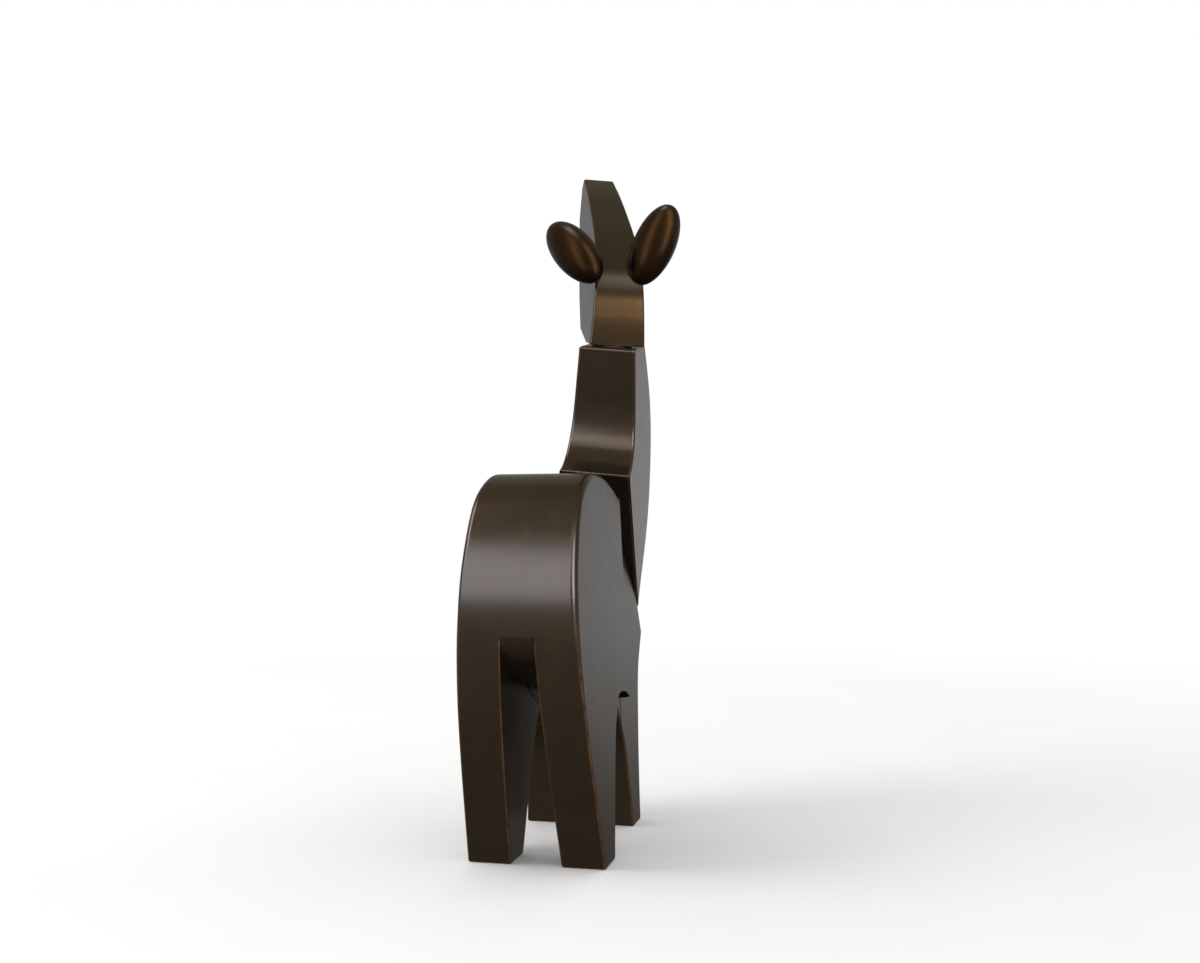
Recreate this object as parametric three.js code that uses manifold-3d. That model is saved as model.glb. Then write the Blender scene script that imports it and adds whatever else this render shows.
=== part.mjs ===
// Block-form giraffe statue, millimetres, +Z up, standing on z = 0 and facing -Y.
// Its left side is +X. Side outlines are drawn as (forward, height) and run across X.
import * as THREE from 'three';
import { mergeVertices } from 'three/addons/utils/BufferGeometryUtils.js';
import Module from 'manifold-3d';

const wasm = await Module();
wasm.setup();

// ---- driving dimensions -------------------------------------------------------------------
const HEIGHT = 300;              // ground to the top of the head
const SEAM = 56;                 // forward place of the face where the two body halves meet
const SEAM_GAP = 0.3;            // glue line between the two body halves
const SEAM_TOP = 143.2;          // height of the back where the halves meet
const BELLY = 45;                // height of the belly where the halves meet
const HIND_WIDTH = { ground: 27.6, taper: 0.0436 };   // half width = ground - taper * height
const FRONT_WIDTH = { ground: 24.1, taper: 0.056 };
const SLOT_WIDTH = { ground: 10, taper: 0.0425 };

const SEAT_TILT = THREE.MathUtils.degToRad(49.9);     // seat under the neck, from level
const SEAT_PIVOT = new THREE.Vector2(98, 102.3);      // where the neck pin crosses the seat
const SEAT_REAR = 59;            // forward place of the seat's rear end
const SEAT_FRONT = 105;          // forward place of the seat's front end
const NECK_TOP_TILT = THREE.MathUtils.degToRad(11.2); // top of the neck, rising forward
const NECK_TOP_PIVOT = new THREE.Vector2(72, 211.3);  // where the head pin crosses that top
const JOINT_GAP = 0.7;           // opening between two turning faces, holds the washer

const NECK_TURN = THREE.MathUtils.degToRad(7.4);      // neck turned to the left as displayed
const HEAD_TURN = THREE.MathUtils.degToRad(18.9);     // head turned to the left on the neck
const NECK_SIDE = -1.5;          // the neck stands this far off its pin, to the right
const HEAD_SIDE = -0.9;          // and the head off its own pin

const NECK_PIN = { radius: 4, below: 20, above: 18 };
const HEAD_PIN = { radius: 3, below: 20, above: 16 };
const PIN_END_GAP = 1;           // a bore is this much longer than its pin at each end
const RUNNING_FIT = 0.09;        // added to a bore's radius
const WASHER = { rim: 5.5, clearance: 0.4, thickness: 0.4 };
const DOWEL = { radius: 4, length: 30, heights: [84, 122] };
// The ledge low on each flank, under which the hind body is only as wide as the front body.
const LEDGE = { rear: new THREE.Vector2(34, 60.2), front: new THREE.Vector2(57, 57.3) };
const STEP_LOW = { rear: new THREE.Vector2(31, 48), front: new THREE.Vector2(57, 40) };
const NOTCH = { rise: 2.6, depth: 6, margin: 1.5 };   // half-round pocket on that ledge
const EAR = { length: 37.8, thickness: 18.7 };
const EAR_GAP = 0.3;             // glue line between an ear and the head
const EAR_PIN_RADIUS = 1.5;
const CUT_MARGIN = 4;            // a cutting shape runs this far past the face it cuts
const ROUND_SEGMENTS = 32;
const CURVE_SEGMENTS = 9;
const EAR_SEGMENTS = { around: 48, along: 32 };

// ---- materials ----------------------------------------------------------------------------
function bronze(colour) {
  return new THREE.MeshStandardMaterial({ color: colour, metalness: 0.9, roughness: 0.35 });
}

function steel() {
  return new THREE.MeshStandardMaterial({ color: 0x9a9da1, metalness: 1, roughness: 0.3 });
}

function blackNylon() {
  return new THREE.MeshStandardMaterial({ color: 0x262524, metalness: 0, roughness: 0.6 });
}

// ---- solids -------------------------------------------------------------------------------
function toSolid(geometry) {
  const bare = geometry.clone();
  bare.deleteAttribute('normal');
  bare.deleteAttribute('uv');
  const merged = mergeVertices(bare, 1e-4);
  const mesh = new wasm.Mesh({
    numProp: 3,
    vertProperties: new Float32Array(merged.attributes.position.array),
    triVerts: new Uint32Array(merged.index.array),
  });
  return new wasm.Manifold(mesh);
}

function toGeometry(solid) {
  const mesh = solid.getMesh();
  const geometry = new THREE.BufferGeometry();
  geometry.setAttribute('position', new THREE.BufferAttribute(mesh.vertProperties, 3));
  geometry.setIndex(new THREE.BufferAttribute(mesh.triVerts, 1));
  geometry.computeVertexNormals();
  return geometry;
}

function cut(geometry, ...tools) {
  const result = tools.reduce((solid, tool) => solid.subtract(toSolid(tool)), toSolid(geometry));
  return toGeometry(result);
}

// A side outline made into a slab whose two side faces lean in with height.
function slab(outline, width) {
  const geometry = new THREE.ExtrudeGeometry(outline, {
    depth: 2, steps: 1, bevelEnabled: false, curveSegments: CURVE_SEGMENTS,
  });
  geometry.translate(0, 0, -1);
  const sideways = new THREE.Matrix4().makeBasis(
    new THREE.Vector3(0, -1, 0),
    new THREE.Vector3(0, 0, 1),
    new THREE.Vector3(-1, 0, 0),
  );
  geometry.applyMatrix4(sideways);
  const place = geometry.attributes.position;
  for (let i = 0; i < place.count; i += 1) {
    const halfWidth = width.ground - width.taper * place.getZ(i);
    place.setX(i, place.getX(i) * halfWidth);
  }
  return geometry;
}

function at(x, forward, height) {
  return new THREE.Vector3(x, -forward, height);
}

function shiftedSideways(point, distance) {
  return point.clone().add(at(distance, 0, 0));
}

// A round bar between two points.
function bar(start, end, radius) {
  const axis = end.clone().sub(start);
  const geometry = new THREE.CylinderGeometry(radius, radius, axis.length(), ROUND_SEGMENTS);
  const turn = new THREE.Quaternion().setFromUnitVectors(
    new THREE.Vector3(0, 1, 0),
    axis.clone().normalize(),
  );
  const middle = start.clone().add(end).multiplyScalar(0.5);
  geometry.applyMatrix4(new THREE.Matrix4().compose(middle, turn, new THREE.Vector3(1, 1, 1)));
  return geometry;
}

// A flat ring standing on a point, square to an axis.
function ring(centre, axis, size) {
  const { inner, outer, thickness } = size;
  const profile = points([inner, 0], [outer, 0], [outer, thickness], [inner, thickness],
    [inner, 0]);
  const geometry = new THREE.LatheGeometry(profile, ROUND_SEGMENTS);
  const turn = new THREE.Quaternion().setFromUnitVectors(new THREE.Vector3(0, 1, 0), axis);
  geometry.applyMatrix4(new THREE.Matrix4().compose(centre, turn, new THREE.Vector3(1, 1, 1)));
  return geometry;
}

function points(...pairs) {
  return pairs.map(([forward, height]) => new THREE.Vector2(forward, height));
}

// ---- joint planes and axes ----------------------------------------------------------------
function seatHeight(forward) {
  return SEAT_PIVOT.y - Math.tan(SEAT_TILT) * (forward - SEAT_PIVOT.x);
}

function neckTopHeight(forward) {
  return NECK_TOP_PIVOT.y + Math.tan(NECK_TOP_TILT) * (forward - NECK_TOP_PIVOT.x);
}

const seatCentre = at(0, SEAT_PIVOT.x, SEAT_PIVOT.y);
const seatAxis = at(0, Math.sin(SEAT_TILT), Math.cos(SEAT_TILT));
const neckTopCentre = at(0, NECK_TOP_PIVOT.x, NECK_TOP_PIVOT.y);
const neckTopAxis = at(0, -Math.sin(NECK_TOP_TILT), Math.cos(NECK_TOP_TILT));
const seatLift = JOINT_GAP / Math.cos(SEAT_TILT);          // the same gap measured upright
const neckTopLift = JOINT_GAP / Math.cos(NECK_TOP_TILT);

function along(centre, axis, distance) {
  return centre.clone().addScaledVector(axis, distance);
}

function pivotPin(centre, axis, pin) {
  return bar(along(centre, axis, -pin.below), along(centre, axis, pin.above), pin.radius);
}

function pivotBore(centre, axis, pin) {
  const start = along(centre, axis, -pin.below - PIN_END_GAP);
  const end = along(centre, axis, pin.above + PIN_END_GAP);
  return bar(start, end, pin.radius + RUNNING_FIT);
}

function washer(centre, axis, pin) {
  const base = along(centre, axis, (JOINT_GAP - WASHER.thickness) / 2);
  const inner = pin.radius + WASHER.clearance;
  return ring(base, axis, { inner, outer: inner + WASHER.rim, thickness: WASHER.thickness });
}

// ---- body ---------------------------------------------------------------------------------
function hindOutline() {
  const shape = new THREE.Shape();
  shape.moveTo(16.7, 0);
  shape.lineTo(0, 0);
  shape.splineThru(points([-14.5, 42.5], [-23.4, 75], [-26, 98], [-23.2, 118.5], [-13.5, 139.5],
    [2, 149.4], [18, 151.3], [36, 149.2], [SEAM, SEAM_TOP]));
  shape.lineTo(SEAM, BELLY);
  shape.splineThru(points([50.2, 54.3], [43, 57], [35.5, 56.4], [29.5, 50.5]));
  shape.splineThru(points([25, 36], [16.7, 0]));
  return shape;
}

function frontOutline() {
  const rear = SEAM + SEAM_GAP;
  const shape = new THREE.Shape();
  shape.moveTo(rear, BELLY);
  shape.splineThru(points([62, 34], [66, 17.5], [69.2, 0]));
  shape.lineTo(84.4, 0);
  shape.splineThru(points([87.8, 22], [93, 46], [99, 64.8], [110.6, 80.5]));
  shape.lineTo(SEAT_FRONT, seatHeight(SEAT_FRONT));
  shape.lineTo(SEAT_REAR, seatHeight(SEAT_REAR));
  shape.lineTo(rear, SEAM_TOP);
  shape.closePath();
  return shape;
}

// The gap between a pair of legs: everything under one long curved ceiling.
function slotOutline() {
  const shape = new THREE.Shape();
  shape.moveTo(-40, -5);
  shape.lineTo(-40, 97);
  shape.lineTo(-26.6, 94);
  shape.splineThru(points([-25.1, 88], [-21.8, 82.5], [-15.8, 77.6], [-7, 73.6], [12, 67.6],
    [40, 62], [66, 58.5], [86, 62], [104, 75.5], [118, 92]));
  shape.lineTo(118, -5);
  shape.closePath();
  return shape;
}

// Below the ledge the hind body's flanks step in to the width of the front body.
function flankStep() {
  const outline = new THREE.Shape();
  outline.setFromPoints([STEP_LOW.rear, STEP_LOW.front, LEDGE.front, LEDGE.rear]);
  const whole = slab(outline, { ground: HIND_WIDTH.ground + CUT_MARGIN, taper: 0 });
  const reach = LEDGE.front.x + CUT_MARGIN;
  const top = LEDGE.rear.y + CUT_MARGIN;
  const kept = new THREE.Shape();
  kept.setFromPoints(points([0, 0], [reach, 0], [reach, top], [0, top]));
  return cut(whole, slab(kept, FRONT_WIDTH));
}

// Half-round pocket in the flank, standing on the ledge.
function notchTool(side) {
  const middle = LEDGE.rear.clone().add(LEDGE.front).multiplyScalar(0.5);
  const run = LEDGE.front.clone().sub(LEDGE.rear);
  const halfRun = run.length() / 2 - NOTCH.margin;
  const outline = new THREE.Shape();
  outline.absellipse(middle.x, middle.y, halfRun, NOTCH.rise, 0, Math.PI, false, run.angle());
  outline.closePath();
  const half = (NOTCH.depth + CUT_MARGIN) / 2;
  const flank = HIND_WIDTH.ground - HIND_WIDTH.taper * middle.y;
  const geometry = slab(outline, { ground: half, taper: 0 });
  geometry.translate(side * (flank - NOTCH.depth + half), 0, 0);
  return geometry;
}

function dowelEnds(height, extra) {
  const half = DOWEL.length / 2 + extra;
  return [at(0, SEAM - half, height), at(0, SEAM + half, height)];
}

function dowelBores() {
  return DOWEL.heights.map((height) => {
    const [start, end] = dowelEnds(height, PIN_END_GAP);
    return bar(start, end, DOWEL.radius + RUNNING_FIT);
  });
}

function hindBody() {
  const slot = slab(slotOutline(), SLOT_WIDTH);
  return cut(slab(hindOutline(), HIND_WIDTH), slot, flankStep(), notchTool(1), notchTool(-1),
    ...dowelBores());
}

function frontBody() {
  const slot = slab(slotOutline(), SLOT_WIDTH);
  return cut(slab(frontOutline(), FRONT_WIDTH), slot,
    pivotBore(seatCentre, seatAxis, NECK_PIN), ...dowelBores());
}

// ---- neck ---------------------------------------------------------------------------------
function neckOutline() {
  const rear = 55.5;
  const front = 106;
  const topRear = 58;
  const topFront = 94.6;
  const shape = new THREE.Shape();
  shape.moveTo(front, seatHeight(front) + seatLift);
  shape.splineThru(points([112.5, 104.5], [124, 119.5], [133.5, 135.5], [137.2, 154], [134.5, 176],
    [122, 196], [topFront, neckTopHeight(topFront)]));
  shape.lineTo(topRear, neckTopHeight(topRear));
  shape.splineThru(points([62.6, 195], [67.5, 180], [67.6, 168], [62.6, 158.6],
    [rear, seatHeight(rear) + seatLift]));
  shape.closePath();
  return shape;
}

function neck() {
  const neckPinPlace = shiftedSideways(seatCentre, -NECK_SIDE);
  return cut(slab(neckOutline(), FRONT_WIDTH), pivotBore(neckPinPlace, seatAxis, NECK_PIN),
    pivotBore(neckTopCentre, neckTopAxis, HEAD_PIN));
}

// ---- head ---------------------------------------------------------------------------------
function headOutline() {
  const rear = 63.5;
  const flatEnd = 77;
  const shape = new THREE.Shape();
  shape.moveTo(96.5, 221.5);
  shape.splineThru(points([104, 232], [111.5, 243.5], [130.6, 280.5]));
  shape.lineTo(131, 296);
  shape.lineTo(126.5, HEIGHT);
  shape.splineThru(points([110, 288.8], [94, 276.2], [78, 262.3], [66.5, 249], [62.4, 236],
    [62.2, 224], [rear, neckTopHeight(rear) + neckTopLift]));
  shape.lineTo(flatEnd, neckTopHeight(flatEnd) + neckTopLift);
  shape.closePath();
  return shape;
}

// Each ear: the middle of the egg, which way it points, and the two ends of its pin.
const EARS = {
  left: {
    centre: at(19.8, 67, 251.2),
    tip: at(17.9, 21.9, 27).normalize(),
    pinStart: at(15, 60, 244),
    pinEnd: at(3.5, 75, 240),
  },
  right: {
    centre: at(-14.9, 62, 255.7),
    tip: at(-10.5, -4.2, 27).normalize(),
    pinStart: at(-14, 60, 248),
    pinEnd: at(-3.5, 77, 241),
  },
};

function egg({ centre, tip }) {
  const geometry = new THREE.SphereGeometry(0.5, EAR_SEGMENTS.around, EAR_SEGMENTS.along);
  const turn = new THREE.Quaternion().setFromUnitVectors(new THREE.Vector3(0, 1, 0), tip);
  const size = new THREE.Vector3(EAR.thickness, EAR.length, EAR.thickness);
  geometry.applyMatrix4(new THREE.Matrix4().compose(centre, turn, size));
  return geometry;
}

// The pin runs from inside the ear's lower end forward and down into the head.
function earPinBar({ pinStart, pinEnd }, extra, radius) {
  const axis = pinEnd.clone().sub(pinStart).normalize();
  return bar(along(pinStart, axis, -extra), along(pinEnd, axis, extra), radius);
}

function earPin(ear) {
  return earPinBar(ear, 0, EAR_PIN_RADIUS);
}

function earBore(ear) {
  return earPinBar(ear, PIN_END_GAP, EAR_PIN_RADIUS + RUNNING_FIT);
}

function head() {
  const headPinPlace = shiftedSideways(neckTopCentre, -HEAD_SIDE);
  return cut(slab(headOutline(), FRONT_WIDTH), pivotBore(headPinPlace, neckTopAxis, HEAD_PIN),
    earBore(EARS.left), earBore(EARS.right));
}

// The lower end of each ear is cut to saddle the head's rear corner, with a thin glue line.
function earShape(ear) {
  const width = { ground: FRONT_WIDTH.ground + EAR_GAP, taper: FRONT_WIDTH.taper };
  const saddle = slab(headOutline(), width);
  const raised = saddle.clone().translate(0, EAR_GAP, EAR_GAP);
  return cut(egg(ear), saddle, raised, earBore(ear));
}

// ---- assembly -----------------------------------------------------------------------------
function piece(name, geometry, material) {
  const mesh = new THREE.Mesh(geometry, material);
  mesh.name = name;
  return mesh;
}

// A group that turns about an axis through a centre, holding pieces drawn unturned and in
// line with the centre, then moved sideways in the group.
function turned(centre, axis, angle, side, ...pieces) {
  const pivot = new THREE.Group();
  pivot.position.copy(centre);
  pivot.quaternion.setFromAxisAngle(axis, angle);
  const offset = new THREE.Group();
  offset.position.copy(shiftedSideways(centre.clone().negate(), side));
  offset.add(...pieces);
  pivot.add(offset);
  return pivot;
}

const BODY_BRONZE = 0x3a2c20;
const EAR_BRONZE = 0x4a3220;
const headGroup = turned(neckTopCentre, neckTopAxis, HEAD_TURN, HEAD_SIDE,
  piece('head', head(), bronze(BODY_BRONZE)),
  piece('left_ear', earShape(EARS.left), bronze(EAR_BRONZE)),
  piece('right_ear', earShape(EARS.right), bronze(EAR_BRONZE)),
  piece('left_ear_pin', earPin(EARS.left), steel()),
  piece('right_ear_pin', earPin(EARS.right), steel()));

const neckGroup = turned(seatCentre, seatAxis, NECK_TURN, NECK_SIDE,
  piece('neck', neck(), bronze(BODY_BRONZE)),
  piece('head_pivot_pin', pivotPin(neckTopCentre, neckTopAxis, HEAD_PIN), steel()),
  piece('head_washer', washer(neckTopCentre, neckTopAxis, HEAD_PIN), blackNylon()),
  headGroup);

const statue = new THREE.Group();
statue.add(
  piece('hind_body', hindBody(), bronze(BODY_BRONZE)),
  piece('front_body', frontBody(), bronze(BODY_BRONZE)),
  piece('neck_pivot_pin', pivotPin(seatCentre, seatAxis, NECK_PIN), steel()),
  piece('neck_washer', washer(seatCentre, seatAxis, NECK_PIN), blackNylon()),
  neckGroup,
);
DOWEL.heights.forEach((height, i) => {
  const [start, end] = dowelEnds(height, 0);
  const name = i === 0 ? 'body_dowel_lower' : 'body_dowel_upper';
  statue.add(piece(name, bar(start, end, DOWEL.radius), steel()));
});

// The origin is on the ground, under the middle of the whole statue's box.
const box = new THREE.Box3().setFromObject(statue, true);
const middle = box.getCenter(new THREE.Vector3());
statue.position.set(-middle.x, -middle.y, -box.min.z);

export default statue;
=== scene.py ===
# Block-form giraffe statue in dark cast bronze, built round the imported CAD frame.
# Metres, +Z up, the statue faces -Y and its left side is +X.
import math

import bmesh
import bpy
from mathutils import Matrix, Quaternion, Vector
from mathutils.bvhtree import BVHTree


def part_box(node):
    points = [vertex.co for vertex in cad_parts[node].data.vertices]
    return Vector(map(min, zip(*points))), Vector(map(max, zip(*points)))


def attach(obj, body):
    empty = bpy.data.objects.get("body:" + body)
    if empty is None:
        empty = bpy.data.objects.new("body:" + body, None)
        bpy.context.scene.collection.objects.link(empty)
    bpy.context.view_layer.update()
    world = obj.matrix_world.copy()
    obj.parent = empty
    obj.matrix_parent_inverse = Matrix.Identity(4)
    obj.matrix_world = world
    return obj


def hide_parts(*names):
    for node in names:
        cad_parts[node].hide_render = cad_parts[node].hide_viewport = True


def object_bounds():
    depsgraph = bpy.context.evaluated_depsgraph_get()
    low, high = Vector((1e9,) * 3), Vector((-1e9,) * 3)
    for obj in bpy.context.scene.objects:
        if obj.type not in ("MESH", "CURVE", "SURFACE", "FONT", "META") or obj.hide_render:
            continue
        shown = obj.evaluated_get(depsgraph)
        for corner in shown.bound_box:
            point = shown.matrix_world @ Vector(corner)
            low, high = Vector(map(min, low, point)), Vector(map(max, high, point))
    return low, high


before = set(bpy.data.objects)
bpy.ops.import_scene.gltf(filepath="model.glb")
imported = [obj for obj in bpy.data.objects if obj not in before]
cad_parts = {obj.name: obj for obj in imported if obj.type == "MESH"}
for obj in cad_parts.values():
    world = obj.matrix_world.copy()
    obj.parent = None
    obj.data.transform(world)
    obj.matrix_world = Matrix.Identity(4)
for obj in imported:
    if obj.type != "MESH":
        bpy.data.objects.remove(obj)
cad_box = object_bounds()
MM = 0.001

# ---- sizes ----------------------------------------------------------------------------------
# Fillet radii. The hind body's grow from the legs to the rump.
EDGE_ROUND = {"front_body": 1.0 * MM, "neck": 1.4 * MM, "head": 0.9 * MM}
LEG_ROUND = 1.0 * MM
RUMP_ROUND = 2.6 * MM
POCKET_ROUND = 0.3 * MM          # round the small pockets in the flanks
LEDGE_ROUND = 1.05 * MM          # round the ledges that these stand on
EAR_ROUND = 0.2 * MM
PIN_CHAMFER = 0.25 * MM
WASHER_CHAMFER = 0.1 * MM
CHAMFER_ANGLE = math.radians(40)  # edges of pins and washers turning more than this are cut
EDGE_STEPS = 6                   # faces across a fillet
RUMP = (62 * MM, 98 * MM)        # between these heights the legs pass into the rump
SLOT_SIDE = 14 * MM              # half the width across which edges belong to the slot

# How far the copper shows, 0 to 1.
EDGE_WEAR = {"front_body": 0.4, "neck": 0.2, "head": 0.1}
LEG_WEAR = 0.9
RUMP_WEAR = 0.01
FLANK_WEAR = 0.3                 # on the pockets and their ledges
EAR_WEAR = 0.2
WEAR_SKIRT = 0.12                # share of the wear beside the crest of a fillet

SHARP_ANGLE = math.radians(24)   # edges turning more than this are rounded
FLAT_ANGLE = math.radians(0.25)  # faces closer than this are one flat face
WELD = 0.002 * MM                # vertices closer than this are one
BORE_REACH = 0.4 * MM            # an edge this close to a hidden pin belongs to its bore

CAST_PIECES = {
    "hind_body": "body",
    "front_body": "body",
    "neck": "neck",
    "head": "head",
}
EAR_PIECES = {"left_ear": "head", "right_ear": "head"}
PINS = ["neck_pivot_pin", "head_pivot_pin", "body_dowel_lower", "body_dowel_upper",
        "left_ear_pin", "right_ear_pin"]
WASHERS = ["neck_washer", "head_washer"]


# ---- material helpers -----------------------------------------------------------------------
class Nodes:
    """A small helper that adds nodes to a material and links them."""

    def __init__(self, name):
        self.material = bpy.data.materials.new(name)
        self.material.use_nodes = True
        self.tree = self.material.node_tree
        self.tree.nodes.clear()
        self.output = self.add("ShaderNodeOutputMaterial")
        self.shader = self.add("ShaderNodeBsdfPrincipled")
        self.link(self.shader, "BSDF", self.output, "Surface")
        self.place = self.add("ShaderNodeTexCoord")

    def add(self, kind, **values):
        node = self.tree.nodes.new(kind)
        for key, value in values.items():
            setattr(node, key, value)
        return node

    def link(self, source, output, target, socket):
        self.tree.links.new(source.outputs[output], target.inputs[socket])

    def noise(self, size, detail=4.0, roughness=0.55, stretch=(1, 1, 1), seed=0.0):
        """Noise whose blobs are about size across, in metres."""
        mapping = self.add("ShaderNodeMapping")
        mapping.inputs["Scale"].default_value = [s / size for s in stretch]
        mapping.inputs["Location"].default_value = (seed, seed * 0.7, seed * 1.3)
        self.link(self.place, "Object", mapping, "Vector")
        noise = self.add("ShaderNodeTexNoise")
        noise.inputs["Scale"].default_value = 1.0
        noise.inputs["Detail"].default_value = detail
        noise.inputs["Roughness"].default_value = roughness
        self.link(mapping, "Vector", noise, "Vector")
        return noise

    def ramp(self, source, output, low, high, start=0.0, end=1.0):
        """Maps low..high of a value to start..end, held at both ends."""
        node = self.add("ShaderNodeMapRange")
        node.inputs["From Min"].default_value = low
        node.inputs["From Max"].default_value = high
        node.inputs["To Min"].default_value = start
        node.inputs["To Max"].default_value = end
        self.link(source, output, node, "Value")
        return node

    def math(self, operation, first, second):
        """A maths node on two nodes' first outputs, or on a node and a number."""
        node = self.add("ShaderNodeMath", operation=operation)
        for index, value in enumerate((first, second)):
            if isinstance(value, (int, float)):
                node.inputs[index].default_value = value
            else:
                self.tree.links.new(value.outputs[0], node.inputs[index])
        return node

    def blend(self, factor, first, second):
        """Mixes two colours, each a tuple or a colour mix node, by a value node."""
        node = self.add("ShaderNodeMix", data_type="RGBA")
        self.tree.links.new(factor.outputs[0], node.inputs["Factor"])
        for socket, colour in (("A", first), ("B", second)):
            target = next(s for s in node.inputs if s.name == socket and s.type == "RGBA")
            if isinstance(colour, tuple):
                target.default_value = (*colour, 1)
            else:
                source = next(s for s in colour.outputs if s.type == "RGBA")
                self.tree.links.new(source, target)
        return node

    def colour(self, mix):
        source = next(s for s in mix.outputs if s.type == "RGBA")
        self.tree.links.new(source, self.shader.inputs["Base Color"])

    def bump(self, *layers):
        """Stacks bump layers, each (node, output, height in metres)."""
        previous = None
        for source, output, height in layers:
            node = self.add("ShaderNodeBump")
            node.inputs["Strength"].default_value = 1.0
            node.inputs["Distance"].default_value = height
            self.link(source, output, node, "Height")
            if previous is not None:
                self.link(previous, "Normal", node, "Normal")
            previous = node
        self.link(previous, "Normal", self.shader, "Normal")

    def set(self, **values):
        for key, value in values.items():
            self.shader.inputs[key.replace("_", " ")].default_value = value


COPPER = (0.36, 0.170, 0.075)
COPPER_METAL = 0.95


def patinated_bronze(name, brown, dark, red, roughness, metal, coat, seed):
    """Dark oil-rubbed bronze with copper showing where the edges have worn."""
    n = Nodes(name)
    broad = n.noise(34 * MM, 5.0, 0.6, seed=seed)
    blotch = n.noise(9 * MM, 6.0, 0.62, seed=seed + 3.1)
    fine = n.noise(1.1 * MM, 4.0, 0.6, seed=seed + 5.7)
    brushed = n.noise(2.4 * MM, 5.0, 0.65, stretch=(1.0, 1.0, 0.12), seed=seed + 9.3)
    swell = n.noise(7 * MM, 1.0, 0.4, seed=seed + 4.6)
    wave = n.noise(26 * MM, 1.5, 0.4, seed=seed + 1.9)

    tone = n.ramp(broad, "Fac", 0.36, 0.66)
    ground = n.blend(tone, dark, brown)
    rusty = n.ramp(blotch, "Fac", 0.52, 0.78, 0.0, 0.7)
    ground = n.blend(rusty, ground, red)

    wear = n.add("ShaderNodeAttribute", attribute_name="wear")
    broken = n.ramp(blotch, "Fac", 0.34, 0.60, 0.15, 1.0)
    speck = n.ramp(fine, "Fac", 0.35, 0.6, 0.45, 1.0)
    edge = n.add("ShaderNodeMath", operation="MULTIPLY")
    n.link(wear, "Fac", edge, 0)
    n.link(broken, "Result", edge, 1)
    edge = n.math("MULTIPLY", edge, speck)
    n.colour(n.blend(edge, ground, COPPER))

    metallic = n.math("MULTIPLY", edge, COPPER_METAL - metal)
    metallic = n.math("ADD", metallic, metal)
    n.link(metallic, "Value", n.shader, "Metallic")
    smoothness = n.ramp(blotch, "Fac", 0.3, 0.72, roughness - 0.02, roughness + 0.035)
    grain = n.ramp(brushed, "Fac", 0.3, 0.7, -0.012, 0.012)
    n.link(n.math("ADD", smoothness, grain), "Value", n.shader, "Roughness")
    n.set(Coat_Weight=coat, Coat_Roughness=roughness * 0.8, Coat_IOR=1.45)
    n.bump((wave, "Fac", 0.16 * MM), (swell, "Fac", 0.016 * MM), (brushed, "Fac", 0.0012 * MM))
    return n.material


def turned_steel(name):
    n = Nodes(name)
    broad = n.noise(6 * MM, 4.0, 0.5, seed=2.2)
    lines = n.noise(0.5 * MM, 3.0, 0.5, stretch=(1, 1, 0.2), seed=4.4)
    n.colour(n.blend(n.ramp(broad, "Fac", 0.35, 0.7), (0.30, 0.30, 0.31), (0.46, 0.46, 0.47)))
    n.link(n.ramp(lines, "Fac", 0.3, 0.7, 0.22, 0.38), "Result", n.shader, "Roughness")
    n.set(Metallic=1.0)
    n.bump((lines, "Fac", 0.006 * MM))
    return n.material


def nylon(name):
    n = Nodes(name)
    broad = n.noise(5 * MM, 3.0, 0.5, seed=6.1)
    fine = n.noise(0.6 * MM, 3.0, 0.5, seed=7.7)
    n.colour(n.blend(n.ramp(broad, "Fac", 0.35, 0.7), (0.016, 0.015, 0.014), (0.026, 0.024, 0.022)))
    n.link(n.ramp(fine, "Fac", 0.3, 0.7, 0.42, 0.6), "Result", n.shader, "Roughness")
    n.bump((fine, "Fac", 0.008 * MM))
    return n.material


# ---- shapes ---------------------------------------------------------------------------------
def tree_of(*nodes):
    """One search tree over several CAD nodes."""
    joined = bmesh.new()
    for node in nodes:
        joined.from_mesh(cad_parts[node].data)
    tree = BVHTree.FromBMesh(joined)
    joined.free()
    return tree


pin_tree = tree_of(*PINS)


def on_bore(edge):
    middle = (edge.verts[0].co + edge.verts[1].co) / 2
    return pin_tree.find_nearest(middle, BORE_REACH)[0] is not None


def corners(mesh, wanted):
    """Edges that turn sharply, apart from the bores, and that wanted() accepts."""
    return [e for e in mesh.edges if len(e.link_faces) == 2
            and e.calc_face_angle(0) > SHARP_ANGLE and not on_bore(e) and wanted(e)]


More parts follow.
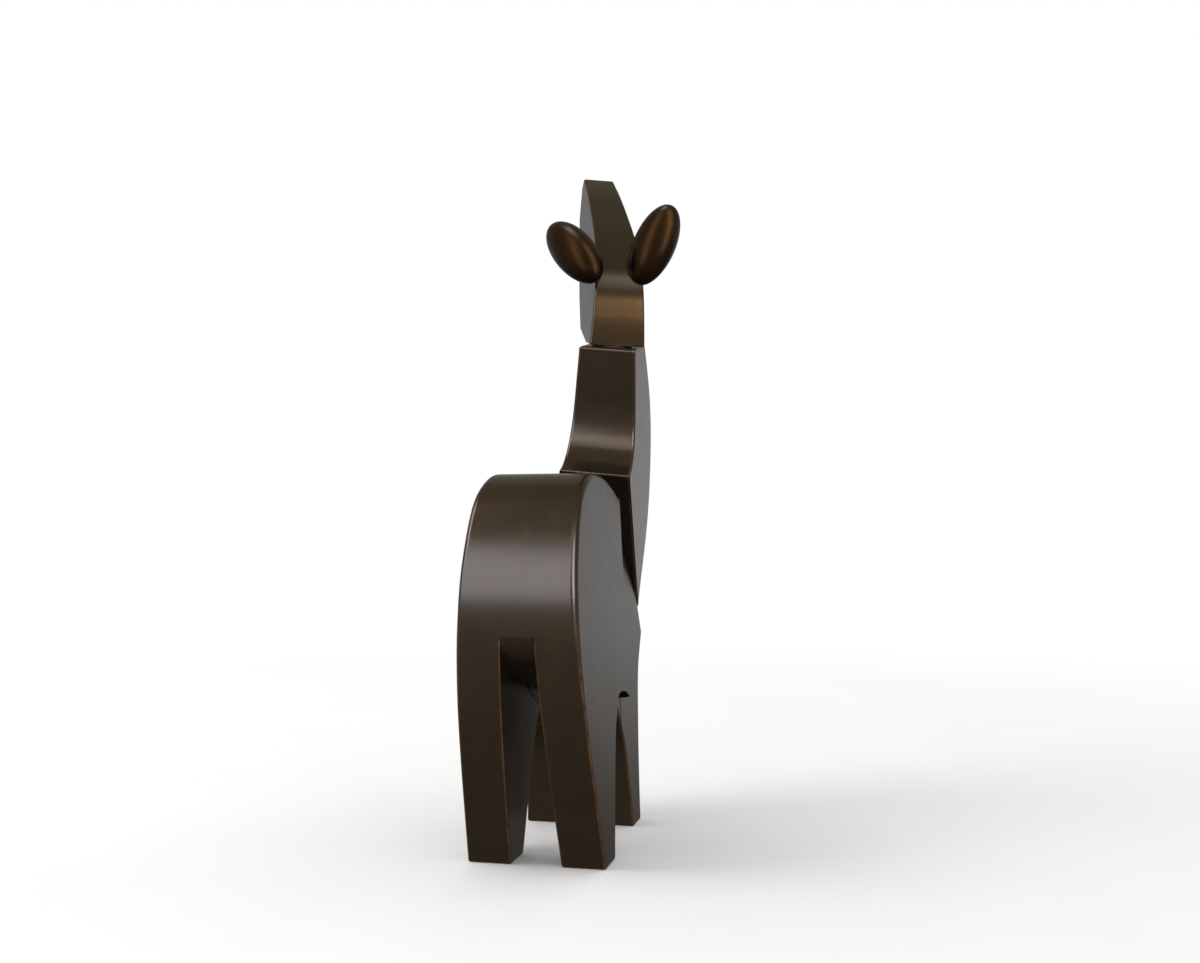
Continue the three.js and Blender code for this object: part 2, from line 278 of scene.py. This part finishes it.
def round_edges(mesh, edges, radius, worn):
    """Rounds these edges and marks the crest of each fillet as worn. Both the radius and
    the wear are functions of the place."""
    sizes = {edge: radius((edge.verts[0].co + edge.verts[1].co) / 2) for edge in edges}
    widest = max(sizes.values())
    weight = mesh.edges.layers.float.get("bevel_weight_edge")
    for edge in mesh.edges:
        edge[weight] = sizes.get(edge, 0) / widest
    for face in mesh.faces:
        face.material_index = 0
    data = bpy.data.meshes.new("blank")
    mesh.to_mesh(data)
    data.materials.append(None)
    data.materials.append(None)
    blank = bpy.data.objects.new("blank", data)
    bpy.context.scene.collection.objects.link(blank)
    fillets = blank.modifiers.new("fillets", "BEVEL")
    fillets.limit_method = "WEIGHT"
    fillets.width = widest
    fillets.segments = EDGE_STEPS
    fillets.material = 1
    fillets.use_clamp_overlap = False
    rounded = blank.evaluated_get(bpy.context.evaluated_depsgraph_get()).to_mesh()
    mesh.clear()
    mesh.from_mesh(rounded)
    bpy.data.objects.remove(blank)
    bpy.data.meshes.remove(data)
    fillet = {face for face in mesh.faces if face.material_index == 1}
    inside = {v for f in fillet for v in f.verts if all(g in fillet for g in v.link_faces)}
    wear = mesh.verts.layers.float.get("wear")
    for vertex in inside:
        crest = all(edge.other_vert(vertex) in inside for edge in vertex.link_edges)
        vertex[wear] = worn(vertex.co) * (1.0 if crest else WEAR_SKIRT)
    for face in mesh.faces:
        face.material_index = 0


def rounded_copy(node, body, material, steps):
    """A finished piece that stands for a CAD node: the same solid with rounded edges.
    steps lists (radius at a place, wear at a place, test for the edges)."""
    mesh = bmesh.new()
    mesh.from_mesh(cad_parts[node].data)
    mesh.verts.layers.float.new("wear")
    mesh.edges.layers.float.new("bevel_weight_edge")
    bmesh.ops.remove_doubles(mesh, verts=mesh.verts, dist=WELD)
    bmesh.ops.dissolve_limit(mesh, angle_limit=FLAT_ANGLE, verts=mesh.verts, edges=mesh.edges)
    for radius, worn, wanted in steps:
        round_edges(mesh, corners(mesh, wanted), radius, worn)
    for face in mesh.faces:
        face.smooth = True
    for edge in mesh.edges:
        edge.smooth = not (len(edge.link_faces) == 2 and edge.calc_face_angle(0) > SHARP_ANGLE)
    data = bpy.data.meshes.new(node + "_cast")
    mesh.to_mesh(data)
    mesh.free()
    piece = bpy.data.objects.new(node + "_cast", data)
    bpy.context.scene.collection.objects.link(piece)
    data.materials.clear()
    data.materials.append(material)
    shading = piece.modifiers.new("even_shading", "WEIGHTED_NORMAL")
    shading.keep_sharp = True
    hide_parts(node)
    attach(piece, body)
    return piece


# ---- the statue -----------------------------------------------------------------------------
body_bronze = patinated_bronze("body_bronze", (0.052, 0.036, 0.019), (0.044, 0.030, 0.016),
                               (0.058, 0.035, 0.017), 0.25, 0.88, 0.5, 1.0)
ear_bronze = patinated_bronze("ear_bronze", (0.036, 0.017, 0.0065), (0.025, 0.012, 0.005),
                              (0.048, 0.020, 0.008), 0.33, 0.92, 0.12, 8.0)
steel = turned_steel("turned_steel")
black_nylon = nylon("black_nylon")

hind_low, hind_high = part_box("hind_body")
centre_x = (hind_low.x + hind_high.x) / 2
# The half-round pockets lie in the flanks, low down beside the seam, each on a ledge.
# low and high are heights, length runs back from the seam and inner is the distance from
# the middle at which the flank begins.
POCKET = {"low": 58 * MM, "high": 66 * MM, "length": 24 * MM, "inner": 18 * MM}
LEDGE = {"low": 36 * MM, "high": 68 * MM, "length": 30 * MM, "inner": 16 * MM}


def within(vertex, zone):
    return (zone["low"] < vertex.co.z < zone["high"]
            and abs(vertex.co.x - centre_x) > zone["inner"]
            and vertex.co.y < hind_low.y + zone["length"])


def in_pocket(edge):
    return all(within(v, POCKET) for v in edge.verts)


def by_ledge(edge):
    return edge.is_convex and not in_pocket(edge) and any(within(v, LEDGE) for v in edge.verts)


def outer(edge):
    return edge.is_convex and not in_pocket(edge) and not by_ledge(edge)


def evenly(amount):
    return lambda place: amount


def rump(place):
    """0 on the legs and in the slot between them, 1 on the rump."""
    low, high = RUMP
    inside_slot = abs(place.x - centre_x) < SLOT_SIDE
    return 0 if inside_slot else min(1, max(0, (place.z - low) / (high - low)))


def hind_round(place):
    return LEG_ROUND + (RUMP_ROUND - LEG_ROUND) * rump(place)


def hind_wear(place):
    return LEG_WEAR - (LEG_WEAR - RUMP_WEAR) * rump(place)


cast = {}
for node, body in CAST_PIECES.items():
    if node == "hind_body":
        steps = [(hind_round, hind_wear, outer),
                 (evenly(LEDGE_ROUND), evenly(FLANK_WEAR), by_ledge),
                 (evenly(POCKET_ROUND), evenly(FLANK_WEAR), in_pocket)]
    else:
        steps = [(evenly(EDGE_ROUND[node]), evenly(EDGE_WEAR[node]), lambda edge: edge.is_convex)]
    cast[node] = rounded_copy(node, body, body_bronze, steps)

for node, body in EAR_PIECES.items():
    steps = [(evenly(EAR_ROUND), evenly(EAR_WEAR), lambda edge: True)]
    cast[node] = rounded_copy(node, body, ear_bronze, steps)

for node in PINS + WASHERS:
    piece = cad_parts[node]
    piece.data.materials.clear()
    piece.data.materials.append(steel if node in PINS else black_nylon)
    weld = piece.modifiers.new("weld", "WELD")
    weld.merge_threshold = WELD
    chamfer = piece.modifiers.new("chamfer", "BEVEL")
    chamfer.width = PIN_CHAMFER if node in PINS else WASHER_CHAMFER
    chamfer.segments = 2
    chamfer.limit_method = "ANGLE"
    chamfer.angle_limit = CHAMFER_ANGLE

# ---- floor ----------------------------------------------------------------------------------
FLOOR_NEAR, FLOOR_FAR = 0.32, 0.85   # the floor fades to white between these distances


def floor():
    """Pale floor: matt near the statue, fading into the white surround further out."""
    n = Nodes("pale_floor")
    broad = n.noise(90 * MM, 3.0, 0.5, seed=3.3)
    n.colour(n.blend(n.ramp(broad, "Fac", 0.3, 0.7), (0.86, 0.86, 0.86), (0.88, 0.88, 0.88)))
    n.set(Roughness=0.8, Specular_IOR_Level=0.0)
    away = n.add("ShaderNodeVectorMath", operation="LENGTH")
    n.link(n.place, "Object", away, "Vector")
    fade = n.add("ShaderNodeMapRange", interpolation_type="SMOOTHSTEP")
    fade.inputs["From Min"].default_value = FLOOR_NEAR
    fade.inputs["From Max"].default_value = FLOOR_FAR
    n.link(away, "Value", fade, "Value")
    surround = n.add("ShaderNodeEmission")
    join = n.add("ShaderNodeMixShader")
    n.link(fade, "Result", join, "Fac")
    n.tree.links.new(n.shader.outputs["BSDF"], join.inputs[1])
    n.tree.links.new(surround.outputs["Emission"], join.inputs[2])
    n.link(join, "Shader", n.output, "Surface")
    size = 12.0
    mesh = bpy.data.meshes.new("floor")
    mesh.from_pydata([(-size, -size, 0), (size, -size, 0), (size, size, 0), (-size, size, 0)],
                     [], [(0, 1, 2, 3)])
    ground = bpy.data.objects.new("floor", mesh)
    bpy.context.scene.collection.objects.link(ground)
    mesh.materials.append(n.material)
    ground.visible_glossy = False   # reflections show the surround instead
    return ground


pale_floor = floor()


# ---- studio ---------------------------------------------------------------------------------
def softbox(name, target, azimuth, elevation, distance, width, height, power, colour):
    """A soft area light. Azimuth 0 stands behind the statue (+Y) and 90 at its left (+X)."""
    turn, lift = math.radians(azimuth), math.radians(elevation)
    away = Vector((math.sin(turn) * math.cos(lift), math.cos(turn) * math.cos(lift),
                   math.sin(lift)))
    data = bpy.data.lights.new(name, "AREA")
    data.shape = "RECTANGLE"
    data.size = width
    data.size_y = height
    data.energy = power
    data.color = colour
    lamp = bpy.data.objects.new(name, data)
    bpy.context.scene.collection.objects.link(lamp)
    lamp.location = target + away * distance
    lamp.rotation_mode = "QUATERNION"
    lamp.rotation_quaternion = (-away).to_track_quat("-Z", "Y")
    return lamp


def only_on(lamp, objects, state):
    """With state INCLUDE the lamp lights only these objects, with EXCLUDE all the others."""
    group = bpy.data.collections.new(lamp.name + "_set")
    for item in objects:
        group.objects.link(item)
    for member in group.collection_objects:
        member.light_linking.link_state = state
    lamp.light_linking.receiver_collection = group


MATT_LIGHT = 1.18   # strength of the surround for matt surfaces


def studio_world():
    """White to the camera. For reflections: a warm room behind the statue, dark below, and
    a greyer and somewhat darker sweep ahead of it. Matt surfaces get even neutral light."""
    world = bpy.data.worlds.new("studio")
    bpy.context.scene.world = world
    world.use_nodes = True
    world.cycles.sampling_method = "NONE"   # so that each kind of ray sees its own surround
    tree = world.node_tree
    tree.nodes.clear()
    output = tree.nodes.new("ShaderNodeOutputWorld")
    rays = tree.nodes.new("ShaderNodeLightPath")
    place = tree.nodes.new("ShaderNodeTexCoord")
    split = tree.nodes.new("ShaderNodeSeparateXYZ")
    tree.links.new(place.outputs["Generated"], split.inputs[0])

    def ramp(source, stops):
        """A colour ramp over -1..1 of source. stops lists (place, colour) in order."""
        node = tree.nodes.new("ShaderNodeValToRGB")
        span = tree.nodes.new("ShaderNodeMapRange")
        span.inputs["From Min"].default_value = -1
        tree.links.new(source, span.inputs["Value"])
        tree.links.new(span.outputs[0], node.inputs[0])
        points = node.color_ramp.elements
        for index, (level, colour) in enumerate(stops):
            # A new ramp has two points already.
            point = points[index] if index < 2 else points.new((level + 1) / 2)
            point.position = (level + 1) / 2
            point.color = (*colour, 1)
        return node

    def mix(factor, first, second):
        """Mixes the colours of two ramps by the colour of a third."""
        node = tree.nodes.new("ShaderNodeMix")
        node.data_type = "RGBA"
        sockets = [s for s in node.inputs if s.type == "RGBA"]
        for socket, source in zip(sockets, (first, second)):
            tree.links.new(source.outputs["Color"], socket)
        tree.links.new(factor.outputs["Color"], node.inputs["Factor"])
        return next(s for s in node.outputs if s.type == "RGBA")

    # Over Z the stops run from straight down, -1, to straight up, 1. Over Y they run from
    # ahead of the statue, -1, to behind it, 1.
    room = ramp(split.outputs["Z"], [(-1, (0.10, 0.08, 0.06)), (-0.6, (0.27, 0.235, 0.195)),
                                     (-0.15, (0.42, 0.37, 0.31)), (0.15, (0.50, 0.44, 0.34)),
                                     (0.55, (0.42, 0.36, 0.24)), (1, (0.42, 0.36, 0.24))])
    sweep = ramp(split.outputs["Z"], [(-0.4, (0.06, 0.05, 0.04)), (-0.2, (0.12, 0.105, 0.092)),
                                      (-0.05, (0.39,) * 3), (0.07, (0.37,) * 3),
                                      (0.25, (0.30,) * 3),
                                      (0.6, (0.26, 0.23, 0.17)), (1, (0.17, 0.14, 0.09))])
    ahead = ramp(split.outputs["Y"], [(-1, (1.0,) * 3), (-0.55, (1.0,) * 3),
                                      (-0.1, (0.35,) * 3), (0.2, (0.0,) * 3), (1, (0.0,) * 3)])
    backdrop = mix(ahead, room, sweep)
    glossy = tree.nodes.new("ShaderNodeBackground")
    tree.links.new(backdrop, glossy.inputs["Color"])
    plain = tree.nodes.new("ShaderNodeBackground")
    plain.inputs["Color"].default_value = (1, 1, 1, 1)
    dim = tree.nodes.new("ShaderNodeBackground")
    dim.inputs["Strength"].default_value = MATT_LIGHT
    lit = tree.nodes.new("ShaderNodeMixShader")
    tree.links.new(rays.outputs["Is Diffuse Ray"], lit.inputs[0])
    tree.links.new(plain.outputs[0], lit.inputs[1])
    tree.links.new(dim.outputs[0], lit.inputs[2])
    choose = tree.nodes.new("ShaderNodeMixShader")
    tree.links.new(rays.outputs["Is Glossy Ray"], choose.inputs[0])
    tree.links.new(lit.outputs[0], choose.inputs[1])
    tree.links.new(glossy.outputs[0], choose.inputs[2])
    tree.links.new(choose.outputs[0], output.inputs["Surface"])


studio_world()
low, high = cad_box
middle = (low + high) / 2
ears = [cast["left_ear"], cast["right_ear"]]
head = cast["head"]
LIGHT_DISTANCE = 1.6
# name: azimuth, elevation, width, height, power, colour
STATUE_LIGHTS = {
    "cool_softbox": (27, 17, 1.16, 0.92, 10.5, (0.85, 1.0, 1.45)),
    "plain_softbox": (-3, 30, 0.50, 0.92, 2.8, (1.0, 0.98, 0.88)),
    "warm_softbox": (-41, 8, 0.50, 0.30, 2.0, (1.0, 0.66, 0.33)),
    "nape_softbox": (-39, 35, 0.50, 0.20, 0.8, (0.95, 1.0, 1.05)),
    "side_key": (68, 42, 0.80, 0.80, 9.0, (1.0, 0.98, 0.94)),
    "left_rim": (60, 18, 0.30, 0.90, 6.0, (0.76, 1.0, 1.5)),
    "right_rim": (-44, 18, 0.90, 0.85, 17.0, (0.80, 1.0, 1.5)),
}
EAR_LIGHTS = {
    "ear_strip_right": (-66, 25, 0.70, 3.0, 19, (1.0, 0.86, 0.60)),
    "ear_strip_left": (18, 25, 0.70, 3.0, 12, (1.0, 0.86, 0.60)),
    "ear_tip_softbox": (150, 84, 0.40, 0.30, 3, (0.95, 1.0, 1.05)),
}
for lights, state in ((STATUE_LIGHTS, "EXCLUDE"), (EAR_LIGHTS, "INCLUDE")):
    for name, (azimuth, elevation, width, height, power, colour) in lights.items():
        lamp = softbox(name, middle, azimuth, elevation, LIGHT_DISTANCE, width, height, power,
                       colour)
        apart = [pale_floor] if lights is STATUE_LIGHTS and name != "side_key" else []
        if name.endswith("_rim"):
            apart.append(head)
        only_on(lamp, ears + apart, state)

# ---- camera ---------------------------------------------------------------------------------
CAMERA_PLACE = Vector((-0.1242, 0.5151, 0.1298))   # behind the statue, to its right
CAMERA_TURN = math.radians(13.21)                  # from straight ahead towards its left
CAMERA_LIFT = math.radians(2.57)
CAMERA_ROLL = math.radians(-0.2)
SENSOR_WIDTH = 36                                  # millimetres, like the lens
LENS = 36.82
LENS_SHIFT = -0.00775
camera_data = bpy.data.cameras.new("camera")
camera = bpy.data.objects.new("camera", camera_data)
bpy.context.scene.collection.objects.link(camera)
direction = Vector((math.sin(CAMERA_TURN) * math.cos(CAMERA_LIFT),
                    -math.cos(CAMERA_TURN) * math.cos(CAMERA_LIFT), math.sin(CAMERA_LIFT)))
camera.location = CAMERA_PLACE
camera.rotation_mode = "QUATERNION"
camera.rotation_quaternion = (direction.to_track_quat("-Z", "Y")
                              @ Quaternion((0, 0, 1), CAMERA_ROLL))
camera_data.sensor_width = SENSOR_WIDTH
camera_data.lens = LENS
camera_data.shift_y = LENS_SHIFT
camera_data.clip_start = 0.01
camera_data.clip_end = 100
bpy.context.scene.camera = camera

bpy.context.scene.view_settings.view_transform = "Standard"

bpy.context.view_layer.update()
